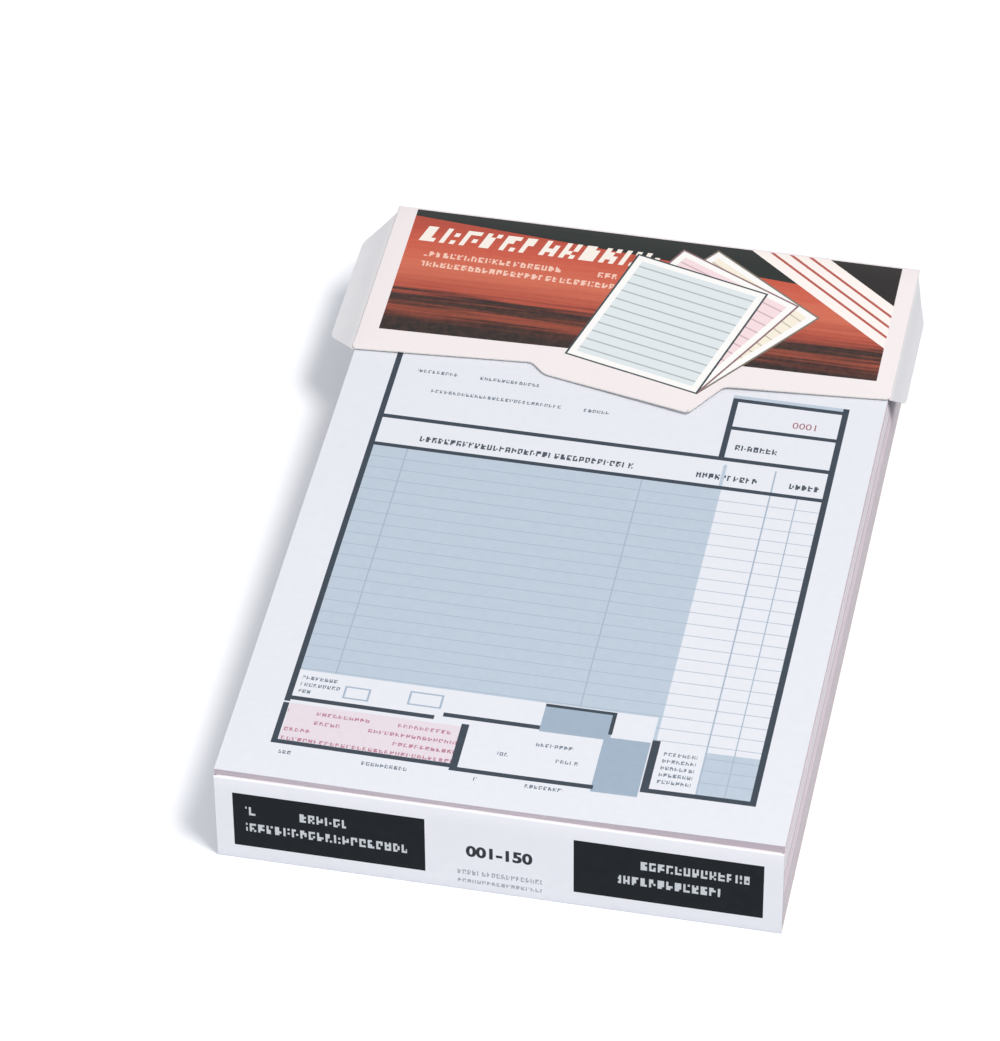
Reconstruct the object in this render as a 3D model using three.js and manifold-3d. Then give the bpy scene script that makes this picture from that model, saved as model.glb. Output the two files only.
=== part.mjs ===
// Duplicate receipt book, half-letter size, 150 numbered sets of a white original over a pink copy.
// The sheets are glued and wire-stitched at the head inside a wraparound card cover. A die-cut header
// flap closes over the head of the top sheet, and a foot panel folds up and tucks in under the top sets.
// Millimetres. +Z is up, +Y points to the head of the sheet and +X to the right of it. The origin is
// the middle of the sheet's outline, on the surface that the book lies on.
import * as THREE from "three";
import { mergeVertices } from "three/addons/utils/BufferGeometryUtils.js";
import Module from "manifold-3d";

const wasm = await Module();
wasm.setup();

// Sheets
const sheetWidth = 139.7;
const sheetLength = 215.9;
const sheetThickness = 0.085;
const sheetsPerSet = 2;
const looseSets = 6; // sets on top whose leaves turn one by one
const leafGap = 0.04; // air between two leaves that turn
const stubDepth = 16; // from the head edge to the perforation
const perforationGap = 0.3;

// Block of unused sets, glued up in equal bundles
const bundleCount = 16;
const setsPerBundle = 9;
const bundleGap = 0.04;

// Card, board and glue
const cardThickness = 0.4;
const backBoardThickness = 1.2;
const glueThickness = 0.4;
const seatGap = 0.05; // between faces that lie on each other
const sideGap = 0.3; // between the sheets' edges and the card that stands beside them
const sheetInset = 0.6; // how far the board and the tuck flap stay inside the sheets' sides

// Header flap. Depths run from the sheets' head edge and places from their left side. The die-cut
// lower edge slopes a little, drops by a step and slants down to a tongue.
const flapDepthLeft = 58.5;
const flapDepthAtStep = 55;
const stepPlace = 46.5;
const stepWidth = 4;
const stepDrop = 4;
const tonguePlace = 90;
const tongueDepth = 67.5;
const tongueReturn = 7.5; // from the tongue's tip across to where the edge is level again
const flapDepthAtReturn = 55.5;
const flapDepthRight = 52;
const flapGap = 0.1; // between the stitches' crowns and the flap
const cornerRadius = 1.5;

// Side lips, scored along the header flap's side edges
const lipDepth = 9;
const lipSetBack = 1.5; // from the head edge to where the lip begins
const lipBackTaper = 7.5; // length over which the lip narrows towards the head
const lipFrontTaper = 3.5;
const leftLipSplay = THREE.MathUtils.degToRad(57); // away from hanging straight down
const rightLipSplay = THREE.MathUtils.degToRad(18);

// Foot panel's flap that tucks in under the loose sets
const tuckDepth = 60;
const tuckTaper = 8; // how far the tuck flap's free corners are cut back

// Flat-wire stitches, driven from both sides because the block is thick
const wireThickness = 0.5;
const wireWidth = 0.7;
const crownWidth = 13;
const bendRadius = 0.7;
const topStitchSpacing = 80;
const bottomStitchSpacing = 36;
const stitchInset = 8; // from the head edge
const legTipGap = 2.5; // in height, between the tips driven down and those driven up
const legClearance = 0.3;
const crownGap = 0.02;

// Heights
const leafPitch = sheetThickness + leafGap;
const leafCount = looseSets * sheetsPerSet;
const bundleThickness = setsPerBundle * sheetsPerSet * sheetThickness;
const boardBottom = cardThickness + seatGap;
const boardTop = boardBottom + backBoardThickness;
const blockBottom = boardTop + seatGap;
const blockTop = blockBottom + bundleCount * (bundleThickness + bundleGap) - bundleGap;
const tuckBottom = blockTop + seatGap;
const tuckTop = tuckBottom + cardThickness;
const leavesBottom = tuckTop + seatGap;
const leavesTop = leavesBottom + leafCount * leafPitch - leafGap;
const topCrownZ = leavesTop + crownGap + wireThickness;
const bottomCrownZ = boardBottom + crownGap;
const flapBottom = topCrownZ + flapGap;
const legLength = (topCrownZ - bottomCrownZ - legTipGap) / 2;

// Positions across and along the sheet
const sideX = sheetWidth / 2;
const headY = sheetLength / 2;
const footY = -sheetLength / 2;
const perforationY = headY - stubDepth;
const stitchY = headY - stitchInset;
const glueY = headY + seatGap;
const spineInnerY = glueY + glueThickness + seatGap;
const spineOuterY = spineInnerY + cardThickness;
const footInnerY = footY - sideGap;
const footOuterY = footInnerY - cardThickness;
const flapSideX = sideX + sideGap + cardThickness;

const finish = (color, roughness) => new THREE.MeshStandardMaterial({ color, roughness, metalness: 0 });
const whitePaper = finish(0xe8ecf4, 0.85);
const pinkPaper = finish(0xecd3dc, 0.85);
const blockPaper = finish(0xd0c2ca, 0.85);
const coverCard = finish(0xf2f0f0, 0.6);
const printedCard = finish(0xc4604a, 0.4);
const greyBoard = finish(0xa39c92, 0.95);
const paddingGlue = finish(0xf0ead8, 0.5);
const wire = new THREE.MeshStandardMaterial({ color: 0xb8bcc0, roughness: 0.35, metalness: 1 });

// A boxed piece between two corners.
function box(name, material, low, high) {
  const size = high.map((value, i) => value - low[i]);
  const mesh = new THREE.Mesh(new THREE.BoxGeometry(...size), material);
  mesh.name = name;
  mesh.position.set(...low.map((value, i) => value + size[i] / 2));
  return mesh;
}

// A card panel cut to an outline in X and Y, whose underside lies at a height.
function plate(name, material, outline, bottom) {
  const geometry = new THREE.ExtrudeGeometry(outline, {
    depth: cardThickness,
    bevelEnabled: false,
    curveSegments: 4,
  });
  const mesh = new THREE.Mesh(geometry, material);
  mesh.name = name;
  mesh.position.z = bottom;
  return mesh;
}

// A mesh as a solid in the book's frame.
function solidOf(mesh) {
  mesh.updateMatrixWorld(true);
  const geometry = mesh.geometry.clone().applyMatrix4(mesh.matrixWorld);
  geometry.deleteAttribute("normal");
  geometry.deleteAttribute("uv");
  const merged = mergeVertices(geometry, 1e-4);
  return new wasm.Manifold(
    new wasm.Mesh({
      numProp: 3,
      vertProperties: merged.attributes.position.array,
      triVerts: new Uint32Array(merged.index.array),
    }),
  );
}

// The mesh with the tools' solids taken out of it.
function cutOut(mesh, tools) {
  const solid = tools.reduce((rest, tool) => rest.subtract(tool), solidOf(mesh));
  const { numProp, vertProperties, triVerts } = solid.getMesh();
  const positions = new Float32Array((vertProperties.length / numProp) * 3);
  for (let i = 0; i < positions.length / 3; i += 1) {
    positions.set(vertProperties.subarray(i * numProp, i * numProp + 3), i * 3);
  }
  const geometry = new THREE.BufferGeometry();
  geometry.setAttribute("position", new THREE.BufferAttribute(positions, 3));
  geometry.setIndex(new THREE.BufferAttribute(new Uint32Array(triVerts), 1));
  geometry.computeVertexNormals();
  const result = new THREE.Mesh(geometry, mesh.material);
  result.name = mesh.name;
  return result;
}

// A closed outline through corners of x, y and radius. A corner is rounded as far as its sides allow.
function outlineOf(corners) {
  const outline = new THREE.Shape();
  const points = corners.map(([x, y]) => new THREE.Vector2(x, y));
  points.forEach((point, i) => {
    const before = points.at(i - 1);
    const after = points[(i + 1) % points.length];
    const reach = Math.min(corners[i][2], point.distanceTo(before) / 2, point.distanceTo(after) / 2);
    const start = point.clone().add(before.clone().sub(point).setLength(reach));
    const end = point.clone().add(after.clone().sub(point).setLength(reach));
    if (i === 0) outline.moveTo(start.x, start.y);
    else outline.lineTo(start.x, start.y);
    if (reach > 0) outline.quadraticCurveTo(point.x, point.y, end.x, end.y);
  });
  outline.closePath();
  return outline;
}

// The cover's two fixed panels, under the block and up its head, which meet at a score line.
function fixedPanels() {
  return [
    box(
      "cover_back_panel",
      coverCard,
      [-sideX, footInnerY + seatGap, 0],
      [sideX, spineOuterY, cardThickness],
    ),
    box(
      "cover_spine_panel",
      coverCard,
      [-sideX, spineInnerY, cardThickness + seatGap],
      [sideX, spineOuterY, flapBottom - seatGap],
    ),
  ];
}

// The header flap, which turns about the spine panel's top edge.
function headerFlap() {
  const placeX = (place) => place - sideX;
  const depthY = (depth) => headY - depth;
  const outline = outlineOf([
    [-flapSideX, spineOuterY, 0],
    [-flapSideX, depthY(flapDepthLeft), 0],
    [placeX(stepPlace), depthY(flapDepthAtStep), cornerRadius],
    [placeX(stepPlace + stepWidth), depthY(flapDepthAtStep + stepDrop), cornerRadius],
    [placeX(tonguePlace), depthY(tongueDepth), cornerRadius],
    [placeX(tonguePlace + tongueReturn), depthY(flapDepthAtReturn), cornerRadius],
    [flapSideX, depthY(flapDepthRight), 0],
    [flapSideX, spineOuterY, 0],
  ]);
  return plate("header_flap", printedCard, outline, flapBottom);
}

// One side lip, in a group whose origin is the score line under the flap's edge. A splay of zero hangs
// it straight down beside the sheets, and a larger one swings it outwards.
function sideLip(name, side, flapDepth, splay) {
  const front = headY - flapDepth;
  const back = headY - lipSetBack;
  const outline = outlineOf([
    [front, -seatGap, 0],
    [front + lipFrontTaper, -lipDepth, cornerRadius],
    [back - lipBackTaper, -lipDepth, cornerRadius],
    [back, -seatGap, 0],
  ]);
  const mesh = plate(name, coverCard, outline, 0);
  // The outline is drawn in Y and Z, and the card's thickness runs along X.
  mesh.rotation.set(Math.PI / 2, Math.PI / 2, 0);
  mesh.position.x = side > 0 ? -cardThickness : 0;
  const score = new THREE.Group();
  score.position.set(side * flapSideX, 0, flapBottom);
  score.rotation.y = -side * splay;
  score.add(mesh);
  return score;
}

// The foot panel, and the flap that its top edge carries in over the block.
function footPanel() {
  return box(
    "foot_panel",
    coverCard,
    [-sideX, footOuterY, 0],
    [sideX, footInnerY, tuckTop],
  );
}

function tuckFlap() {
  const tuckSideX = sideX - sheetInset;
  const tipY = footY + tuckDepth;
  const outline = outlineOf([
    [-tuckSideX, footInnerY + seatGap, 0],
    [tuckSideX, footInnerY + seatGap, 0],
    [tuckSideX, tipY - tuckTaper, cornerRadius],
    [tuckSideX - tuckTaper, tipY, cornerRadius],
    [-tuckSideX + tuckTaper, tipY, cornerRadius],
    [-tuckSideX, tipY - tuckTaper, cornerRadius],
  ]);
  return plate("tuck_flap", coverCard, outline, tuckBottom);
}

// A flat-wire stitch: a crown and two legs cut to a point on their outer side. The crown's outer face
// lies at crownZ, and the legs point down, or up where the stitch is driven from below.
function stitch({ name, x, crownZ, upwards }) {
  const outer = crownWidth / 2;
  const inner = outer - wireThickness;
  const outline = new THREE.Shape();
  outline.moveTo(-outer, -legLength);
  outline.lineTo(-inner, wireThickness - legLength);
  outline.lineTo(-inner, -wireThickness);
  outline.lineTo(inner, -wireThickness);
  outline.lineTo(inner, wireThickness - legLength);
  outline.lineTo(outer, -legLength);
  outline.lineTo(outer, -bendRadius);
  outline.quadraticCurveTo(outer, 0, outer - bendRadius, 0);
  outline.lineTo(bendRadius - outer, 0);
  outline.quadraticCurveTo(-outer, 0, -outer, -bendRadius);
  outline.closePath();
  const geometry = new THREE.ExtrudeGeometry(outline, {
    depth: wireWidth,
    bevelEnabled: false,
    curveSegments: 4,
  });
  geometry.translate(0, 0, -wireWidth / 2);
  const mesh = new THREE.Mesh(geometry, wire);
  mesh.name = name;
  mesh.rotation.x = upwards ? -Math.PI / 2 : Math.PI / 2;
  mesh.position.set(x, stitchY, crownZ);
  return mesh;
}

// The room that a stitch takes in what it is driven through: a slot for each leg, and under a crown
// that is sunk in the board a groove from leg to leg.
function stitchRooms({ name, x, crownZ, upwards }) {
  const direction = upwards ? 1 : -1;
  const halfWidth = wireWidth / 2 + legClearance;
  const outer = crownWidth / 2 + legClearance;
  const inner = crownWidth / 2 - wireThickness - legClearance;
  const openZ = crownZ - direction * legClearance;
  const tipZ = crownZ + direction * (legLength + legClearance);
  const grooveZ = crownZ + direction * (wireThickness + legClearance);
  const room = (x0, x1, endZ) =>
    solidOf(
      box(
        name,
        wire,
        [x0, stitchY - halfWidth, Math.min(openZ, endZ)],
        [x1, stitchY + halfWidth, Math.max(openZ, endZ)],
      ),
    );
  const legs = [room(x - outer, x - inner, tipZ), room(x + inner, x + outer, tipZ)];
  return upwards ? [...legs, room(x - outer, x + outer, grooveZ)] : legs;
}

// The sheets of the loose sets, from the top down. Each is a leaf that turns at the perforation and a
// stub that stays in the binding.
function looseSheets(rooms) {
  const sheets = [];
  for (let i = 0; i < leafCount; i += 1) {
    const set = Math.floor(i / sheetsPerSet) + 1;
    const isOriginal = i % sheetsPerSet === 0;
    const label = `set_${set}_${isOriginal ? "white" : "pink"}`;
    const paper = isOriginal ? whitePaper : pinkPaper;
    const top = leavesTop - i * leafPitch;
    const bottom = top - sheetThickness;
    const leaf = box(
      `${label}_leaf`,
      paper,
      [-sideX, footY, bottom],
      [sideX, perforationY - perforationGap / 2, top],
    );
    const stub = box(
      `${label}_stub`,
      paper,
      [-sideX, perforationY + perforationGap / 2, bottom],
      [sideX, headY, top],
    );
    sheets.push(leaf, cutOut(stub, rooms));
  }
  return sheets;
}

// The block of unused sets, bundle by bundle from the top down.
function unusedBundles(rooms) {
  const bundles = [];
  const number = (value) => String(value).padStart(3, "0");
  for (let i = 0; i < bundleCount; i += 1) {
    const first = looseSets + i * setsPerBundle + 1;
    const top = blockTop - i * (bundleThickness + bundleGap);
    const bundle = box(
      `sets_${number(first)}_to_${number(first + setsPerBundle - 1)}`,
      blockPaper,
      [-sideX, footY, top - bundleThickness],
      [sideX, headY, top],
    );
    bundles.push(cutOut(bundle, rooms));
  }
  return bundles;
}

const stitches = [
  { name: "top_stitch_left", x: -topStitchSpacing / 2, crownZ: topCrownZ, upwards: false },
  { name: "top_stitch_right", x: topStitchSpacing / 2, crownZ: topCrownZ, upwards: false },
  { name: "bottom_stitch_left", x: -bottomStitchSpacing / 2, crownZ: bottomCrownZ, upwards: true },
  { name: "bottom_stitch_right", x: bottomStitchSpacing / 2, crownZ: bottomCrownZ, upwards: true },
];
const rooms = stitches.flatMap(stitchRooms);

const backBoard = box(
  "back_board",
  greyBoard,
  [-sideX + sheetInset, footY + sheetInset, boardBottom],
  [sideX - sheetInset, headY, boardTop],
);
const headGlue = box(
  "head_glue",
  paddingGlue,
  [-sideX, glueY, boardBottom],
  [sideX, glueY + glueThickness, leavesTop],
);

const book = new THREE.Group();
book.add(
  ...fixedPanels(),
  headerFlap(),
  sideLip("left_side_lip", -1, flapDepthLeft, leftLipSplay),
  sideLip("right_side_lip", 1, flapDepthRight, rightLipSplay),
  footPanel(),
  tuckFlap(),
  cutOut(backBoard, rooms),
  headGlue,
  ...stitches.map(stitch),
  ...looseSheets(rooms),
  ...unusedBundles(rooms),
);

export default book;
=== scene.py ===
import math
import random

import bmesh
import bpy
from mathutils import Matrix, Vector


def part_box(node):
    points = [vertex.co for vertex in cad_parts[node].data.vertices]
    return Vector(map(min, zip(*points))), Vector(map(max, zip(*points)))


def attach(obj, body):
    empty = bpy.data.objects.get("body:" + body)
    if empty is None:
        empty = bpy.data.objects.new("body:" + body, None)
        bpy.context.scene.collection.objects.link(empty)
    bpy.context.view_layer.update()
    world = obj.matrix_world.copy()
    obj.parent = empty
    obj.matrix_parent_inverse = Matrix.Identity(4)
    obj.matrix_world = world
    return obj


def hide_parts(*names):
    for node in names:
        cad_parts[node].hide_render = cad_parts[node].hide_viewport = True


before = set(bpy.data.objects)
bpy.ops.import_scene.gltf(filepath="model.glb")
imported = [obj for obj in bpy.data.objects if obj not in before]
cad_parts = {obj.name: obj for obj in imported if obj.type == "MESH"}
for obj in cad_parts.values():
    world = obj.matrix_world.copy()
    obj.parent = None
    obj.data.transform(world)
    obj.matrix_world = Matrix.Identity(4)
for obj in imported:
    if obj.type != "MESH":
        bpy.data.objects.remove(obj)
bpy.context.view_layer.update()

# The back board. A sheet of grey board made from pulped waste paper, cut a little inside the block,
# which keeps the thin cover from folding under it. It shows only as a grey line at the sides.
MM = 0.001


def linear(colour):
    """An sRGB hex colour as the linear colour that a shader socket takes."""
    parts = [int(colour[i : i + 2], 16) / 255 for i in (1, 3, 5)]
    return (*[p / 12.92 if p <= 0.04045 else ((p + 0.055) / 1.055) ** 2.4 for p in parts], 1)


def add(material, kind, inputs=None, **settings):
    """Adds a shader node with its settings. An input is a value, a socket, or a node, of which it
    takes the first output."""
    tree = material.node_tree
    made = tree.nodes.new("ShaderNode" + kind)
    for name, value in settings.items():
        setattr(made, name, value)
    for socket, value in (inputs or {}).items():
        if isinstance(value, bpy.types.Node):
            value = value.outputs[0]
        if isinstance(value, bpy.types.NodeSocket):
            tree.links.new(value, made.inputs[socket])
        else:
            made.inputs[socket].default_value = value
    return made


def new_material(name, roughness, specular):
    """A material with its roughness and specular level set, and its object coordinates."""
    material = bpy.data.materials.new(name)
    material.use_nodes = True
    surface = material.node_tree.nodes["Principled BSDF"]
    surface.inputs["Roughness"].default_value = roughness
    surface.inputs["Specular IOR Level"].default_value = specular
    place = add(material, "TexCoord").outputs["Object"]
    return material, place, surface


def over(material, below, colour, mask):
    """One colour laid over another where the mask is 1."""
    return add(material, "Mix", {0: mask, 6: below, 7: colour}, data_type="RGBA").outputs[2]


def join(material, colour, surface, height=None, strength=0.2, distance=0.02 * MM):
    """Joins a colour, and a height as bump, to the surface."""
    tree = material.node_tree
    tree.links.new(colour, surface.inputs["Base Color"])
    if height is not None:
        bump = add(material, "Bump", {"Height": height, "Strength": strength, "Distance": distance})
        tree.links.new(bump.outputs["Normal"], surface.inputs["Normal"])


def pulp_board():
    """Grey board: matte, clouded, with dark and pale flecks of the waste paper it was made from."""
    material, place, surface = new_material("grey_board_recycled_pulp", 0.95, 0.2)
    clouds = add(material, "TexNoise", {"Vector": place, "Scale": 1 / (6 * MM), "Detail": 4})
    flecks = add(material, "TexNoise", {"Vector": place, "Scale": 1 / (0.7 * MM), "Detail": 2})
    flecked = add(material, "ValToRGB", {"Fac": flecks})
    flecked.color_ramp.elements[0].position = 0.32
    flecked.color_ramp.elements[0].color = linear("#7D766C")
    flecked.color_ramp.elements[1].position = 0.5
    flecked.color_ramp.elements[1].color = linear("#A8A096")
    clouded = over(material, flecked, linear("#9A9388"), clouds)
    join(material, clouded, surface, flecks, 0.4, 0.05 * MM)
    return material


def dress(node, material):
    """Gives a solid that shows as it is its finish."""
    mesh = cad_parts[node].data
    mesh.materials.clear()
    mesh.materials.append(material)


dress("back_board", pulp_board())


# The unused sets. 144 sets of a white original over a pink copy, in the carbonless paper of forms,
# cut together in one stroke of the guillotine, so that the cut sheets show as fine white and pink lines.
# Past the end of the tuck flap the top sheets spring up by the flap's thickness.
SHEETS_IN_BUNDLE = 18
SHEET = 0.085 * MM
draw = random.Random(7)


def carbonless_paper(name, tint, shade):
    """Carbonless paper: matte and smooth, clouded a little where its fibres lie thicker."""
    material, place, surface = new_material(name, 0.82, 0.25)
    formation = add(material, "TexNoise", {"Vector": place, "Scale": 1 / (7 * MM), "Detail": 5})
    fibres = add(material, "TexNoise", {"Vector": place, "Scale": 1 / (0.5 * MM), "Detail": 3})
    cloudy = over(material, linear(tint), linear(shade), formation)
    join(material, cloudy, surface, fibres, 0.25, 0.012 * MM)
    return material


def deselect():
    """Leaves nothing selected, so that an operator acts only on what is new."""
    bpy.ops.object.select_all(action="DESELECT")


def start_box(name, low, high):
    """A box between two corners, left selected and active, with its place in its mesh."""
    deselect()
    low, high = Vector(low), Vector(high)
    bpy.ops.mesh.primitive_cube_add(size=1, location=(low + high) / 2)
    piece = bpy.context.object
    piece.name = name
    piece.scale = high - low
    bpy.ops.object.transform_apply(location=True, rotation=True, scale=True)
    return piece


def cut_all(points, normal):
    """Cuts the whole piece along parallel planes through the points."""
    for point in points:
        bpy.ops.mesh.select_all(action="SELECT")
        bpy.ops.mesh.bisect(plane_co=point, plane_no=normal)


def give(piece, materials, chosen=lambda middle, normal: 0):
    """Sets the piece's materials, and which of them each face takes."""
    piece.data.materials.clear()
    for material in materials:
        piece.data.materials.append(material)
    for face in piece.data.polygons:
        face.material_index = chosen(face.center, face.normal)


def settle(piece, body, slot, *nodes):
    """Lets a finished piece ride on its body and stand for its solids."""
    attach(piece, body)
    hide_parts(*nodes)


WHITE = ("#E7E9F0", "#E1E4EC")
PINK = ("#EFD2DC", "#E9C8D4")
white_paper = carbonless_paper("carbonless_paper_white", *WHITE)
pink_paper = carbonless_paper("carbonless_paper_pink", *PINK)
# The cut edges are painted darker than the faces of their sheets: painted shade for the light that sinks
# in between the sheets.
white_edge_painted_shade = carbonless_paper("carbonless_paper_white_cut_edge_painted_shade", "#CBCFD2", "#C1C6C9")
pink_edge_painted_shade = carbonless_paper("carbonless_paper_pink_cut_edge_painted_shade", "#CBB6BD", "#C1ACB3")

tuck_low, tuck_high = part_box("tuck_flap")
bundle_nodes = sorted(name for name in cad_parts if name.startswith("sets_"))
LIFT_START = tuck_high.y - 4 * MM
LIFT_LENGTH = 26 * MM
LIFT_STEPS = 6
UNDER_LEAF = 0.04 * MM
first_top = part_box(bundle_nodes[0])[1].z
lift_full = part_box("set_6_pink_leaf")[0].z - first_top - UNDER_LEAF
# A sheet fills this share of its place in the pile, so that the sheets can be told apart.
PRESSED = 0.97
SHEET_SHIFT = 0.05 * MM


def spring_up(vertex, share):
    """Lifts a vertex beyond the tuck flap's end by its share of the flap's thickness."""
    along = min(max((vertex.co.y - LIFT_START) / LIFT_LENGTH, 0), 1)
    vertex.co.z += lift_full * share * along * along * (3 - 2 * along)


def slip_of_a_sheet():
    """How far a sheet lies from its true place after the cut."""
    return Vector((draw.uniform(-SHEET_SHIFT, SHEET_SHIFT), draw.uniform(-SHEET_SHIFT, SHEET_SHIFT), 0))


for node in bundle_nodes:
    is_first = node == bundle_nodes[0]
    low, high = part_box(node)
    sheet_top = low.z + SHEET * PRESSED
    bundle = start_box(node.replace("sets", "cut_sheets"), low, (high.x, high.y, sheet_top))
    if is_first:
        bpy.ops.object.mode_set(mode="EDIT")
        bends = [LIFT_START + LIFT_LENGTH * step / LIFT_STEPS for step in range(LIFT_STEPS + 1)]
        cut_all([(0, y, 0) for y in bends], (0, 1, 0))
        bpy.ops.object.mode_set(mode="OBJECT")
    stack = bundle.modifiers.new("stack", "ARRAY")
    # The first bundle's top sheet is made with the other printed sheets.
    stack.count = SHEETS_IN_BUNDLE - is_first
    stack.use_relative_offset = False
    stack.use_constant_offset = True
    stack.constant_offset_displace = (0, 0, SHEET)
    bpy.ops.object.modifier_apply(modifier="stack")
    bundle_slip = slip_of_a_sheet()
    shifts = [bundle_slip + slip_of_a_sheet() for _ in range(SHEETS_IN_BUNDLE)]
    # The sides of the sheets take the cut-edge papers, whose darker colour is painted shade.
    give(
        bundle,
        [pink_paper, white_paper, pink_edge_painted_shade, white_edge_painted_shade],
        lambda middle, normal: int((middle.z - low.z) / SHEET) % 2 + (0 if abs(normal.z) > 0.5 else 2),
    )
    for vertex in bundle.data.vertices:
        layer = min(int((vertex.co.z - low.z) / SHEET), SHEETS_IN_BUNDLE - 1)
        vertex.co += shifts[layer]
        if is_first:
            spring_up(vertex, (layer + 1) / SHEETS_IN_BUNDLE)
    settle(bundle, "binding", "block_paper", node)


# The printed sheets of the six loose sets. Each is a form in dark slate lines with a blue-grey tint,
# printed on both papers alike, with its number in its box. A row of perforations joins each leaf to its
# stub, which stays under the header flap.
sheet_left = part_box("set_1_white_stub")[0].x
sheet_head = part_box("set_1_white_stub")[1].y
TYPE_LINE = 2.4
RULE_PITCH = 4.2
FINE_LINE = 0.35
TIE = 0.65 * MM
HALF_SLIT = 0.13 * MM
EDGE_ZONE = 3 * MM
AT_EDGE = 0.01 * MM


def sheet_x(left):
    """The place across of a distance in mm from the sheet's left edge."""
    return sheet_left + left * MM


def sheet_y(head):
    """The place along of a distance in mm from the sheet's head edge."""
    return sheet_head - head * MM


def print_place(material, place, top=sheet_head, axis="Y"):
    """A print's own place in mm, across from the sheet's left edge and down from its top."""
    split = add(material, "SeparateXYZ", {0: place})
    across = {0: split.outputs["X"], 1: 1 / MM, 2: -sheet_left / MM}
    along = {0: split.outputs[axis], 1: -1 / MM, 2: top / MM}
    left = add(material, "Math", across, operation="MULTIPLY_ADD")
    down = add(material, "Math", along, operation="MULTIPLY_ADD")
    return left, down


def all_of(material, *masks):
    """The mask that is 1 where all of these are."""
    shown = masks[0]
    for mask in masks[1:]:
        shown = add(material, "Math", {0: shown, 1: mask}, operation="MULTIPLY")
    return shown


def inside(material, left, down, box):
    """The mask of a box, given by its left, right, head and foot in mm."""
    low_left, high_left, head, foot = box
    across = {0: left, 1: (low_left + high_left) / 2, 2: (high_left - low_left) / 2}
    along = {0: down, 1: (head + foot) / 2, 2: (foot - head) / 2}
    columns = add(material, "Math", across, operation="COMPARE")
    rows = add(material, "Math", along, operation="COMPARE")
    return all_of(material, columns, rows)


def cells(material, distance, pitch):
    """Which cell of a pitch a distance falls in, and how far along that cell it is, from 0 to 1."""
    counted = add(material, "Math", {0: distance, 1: pitch}, operation="DIVIDE")
    whole = add(material, "Math", {0: counted}, operation="FLOOR")
    part = add(material, "Math", {0: counted}, operation="FRACT")
    return whole, part, counted


def strokes(material, left, down, letter, line, tall, gaps):
    """The mask of rows of marks that stand for type: each is a cell of small blocks, on or off by
    chance, so that no letter is meant. A cell is one letter wide and one line high, in mm. The marks
    fill the part of it that tall gives, and gaps is the chance of a word being left out."""
    whole_column, column_part, column = cells(material, left, letter)
    whole_row, row_part, _ = cells(material, down, line)
    whole_word, _, _ = cells(material, whole_column, 5)
    block_column = add(material, "Math", {0: column, 1: 4}, operation="MULTIPLY")
    block_row = add(material, "Math", {0: row_part, 1: 4 / tall}, operation="MULTIPLY")
    whole_block_column = add(material, "Math", {0: block_column}, operation="FLOOR")
    whole_block_row = add(material, "Math", {0: block_row}, operation="FLOOR")
    block_place = add(
        material, "CombineXYZ", {0: whole_block_column, 1: whole_block_row, 2: whole_row}
    )
    word_place = add(material, "CombineXYZ", {0: whole_word, 1: whole_row, 2: 5})
    block = add(material, "TexWhiteNoise", {"Vector": block_place}, noise_dimensions="3D")
    spaces = add(material, "TexWhiteNoise", {"Vector": word_place}, noise_dimensions="3D")
    stem = add(material, "Math", {0: column_part, 1: 0.25}, operation="LESS_THAN")
    chance = add(material, "Math", {0: block, 1: 0.5}, operation="GREATER_THAN")
    inked = add(material, "Math", {0: chance, 1: stem}, operation="MAXIMUM")
    lettered = add(material, "Math", {0: column_part, 1: 0.75}, operation="LESS_THAN")
    worded = add(material, "Math", {0: spaces, 1: gaps}, operation="GREATER_THAN")
    lined = add(material, "Math", {0: row_part, 1: tall}, operation="LESS_THAN")
    return all_of(material, inked, lettered, worded, lined)


def printed(name, tint, shade, ink=None, line=TYPE_LINE, letter=1.15, tall=0.5, gaps=0.3, rule=None):
    """Paper under a screen tint, with rows of marks in an ink or rows of fine rules on it."""
    material, place, surface = new_material(name, 0.78, 0.25)
    mottle = add(material, "TexNoise", {"Vector": place, "Scale": 1 / (2.2 * MM), "Detail": 6})
    fibres = add(material, "TexNoise", {"Vector": place, "Scale": 1 / (0.5 * MM), "Detail": 3})
    colour = over(material, linear(tint), linear(shade), mottle)
    if ink or rule:
        left, down = print_place(material, place)
    if ink:
        marks = strokes(material, left, down, letter, line, tall, gaps)
        colour = over(material, colour, linear(ink), marks)
    if rule:
        _, part, _ = cells(material, down, RULE_PITCH)
        ruled = add(material, "Math", {0: part, 1: 0.24, 2: 0.028}, operation="COMPARE")
        colour = over(material, colour, linear(rule), ruled)
    join(material, colour, surface, fibres, 0.25, 0.012 * MM)
    return material


def form_inks(paper, plain, shade):
    """The finishes of a form on one paper, by the name that the layout uses."""
    return {
        "paper": printed(f"form_{paper}_plain", plain, shade),
        "line": printed(f"form_{paper}_slate_line", "#343E49", "#424C57"),
        "tint": printed(f"form_{paper}_blue_tint", "#BFCCDA", "#B5C3D2", rule="#A3B3C4"),
        "rows": printed(f"form_{paper}_ruled_rows", plain, shade, rule="#A9B8C8"),
        "rule": printed(f"form_{paper}_rule", "#A9B9CA", "#9FB0C2"),
        "block": printed(f"form_{paper}_blue_block", "#A3B4C5", "#98AABD"),
        "pink": printed(
            f"form_{paper}_pink_box",
            "#E6DCE4",
            "#DFD4DD",
            ink="#B98899",
            line=3.2,
            letter=1.35,
            tall=0.38,
        ),
        "type": printed(f"form_{paper}_small_type", plain, shade, ink="#7C8793"),
        "heading": printed(
            f"form_{paper}_heading", plain, shade, ink="#4B5560", line=4, letter=1.6
        ),
        # The cut edges round a leaf are darkened with painted shade.
        "edge": white_edge_painted_shade if paper == "white" else pink_edge_painted_shade,
    }


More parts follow.
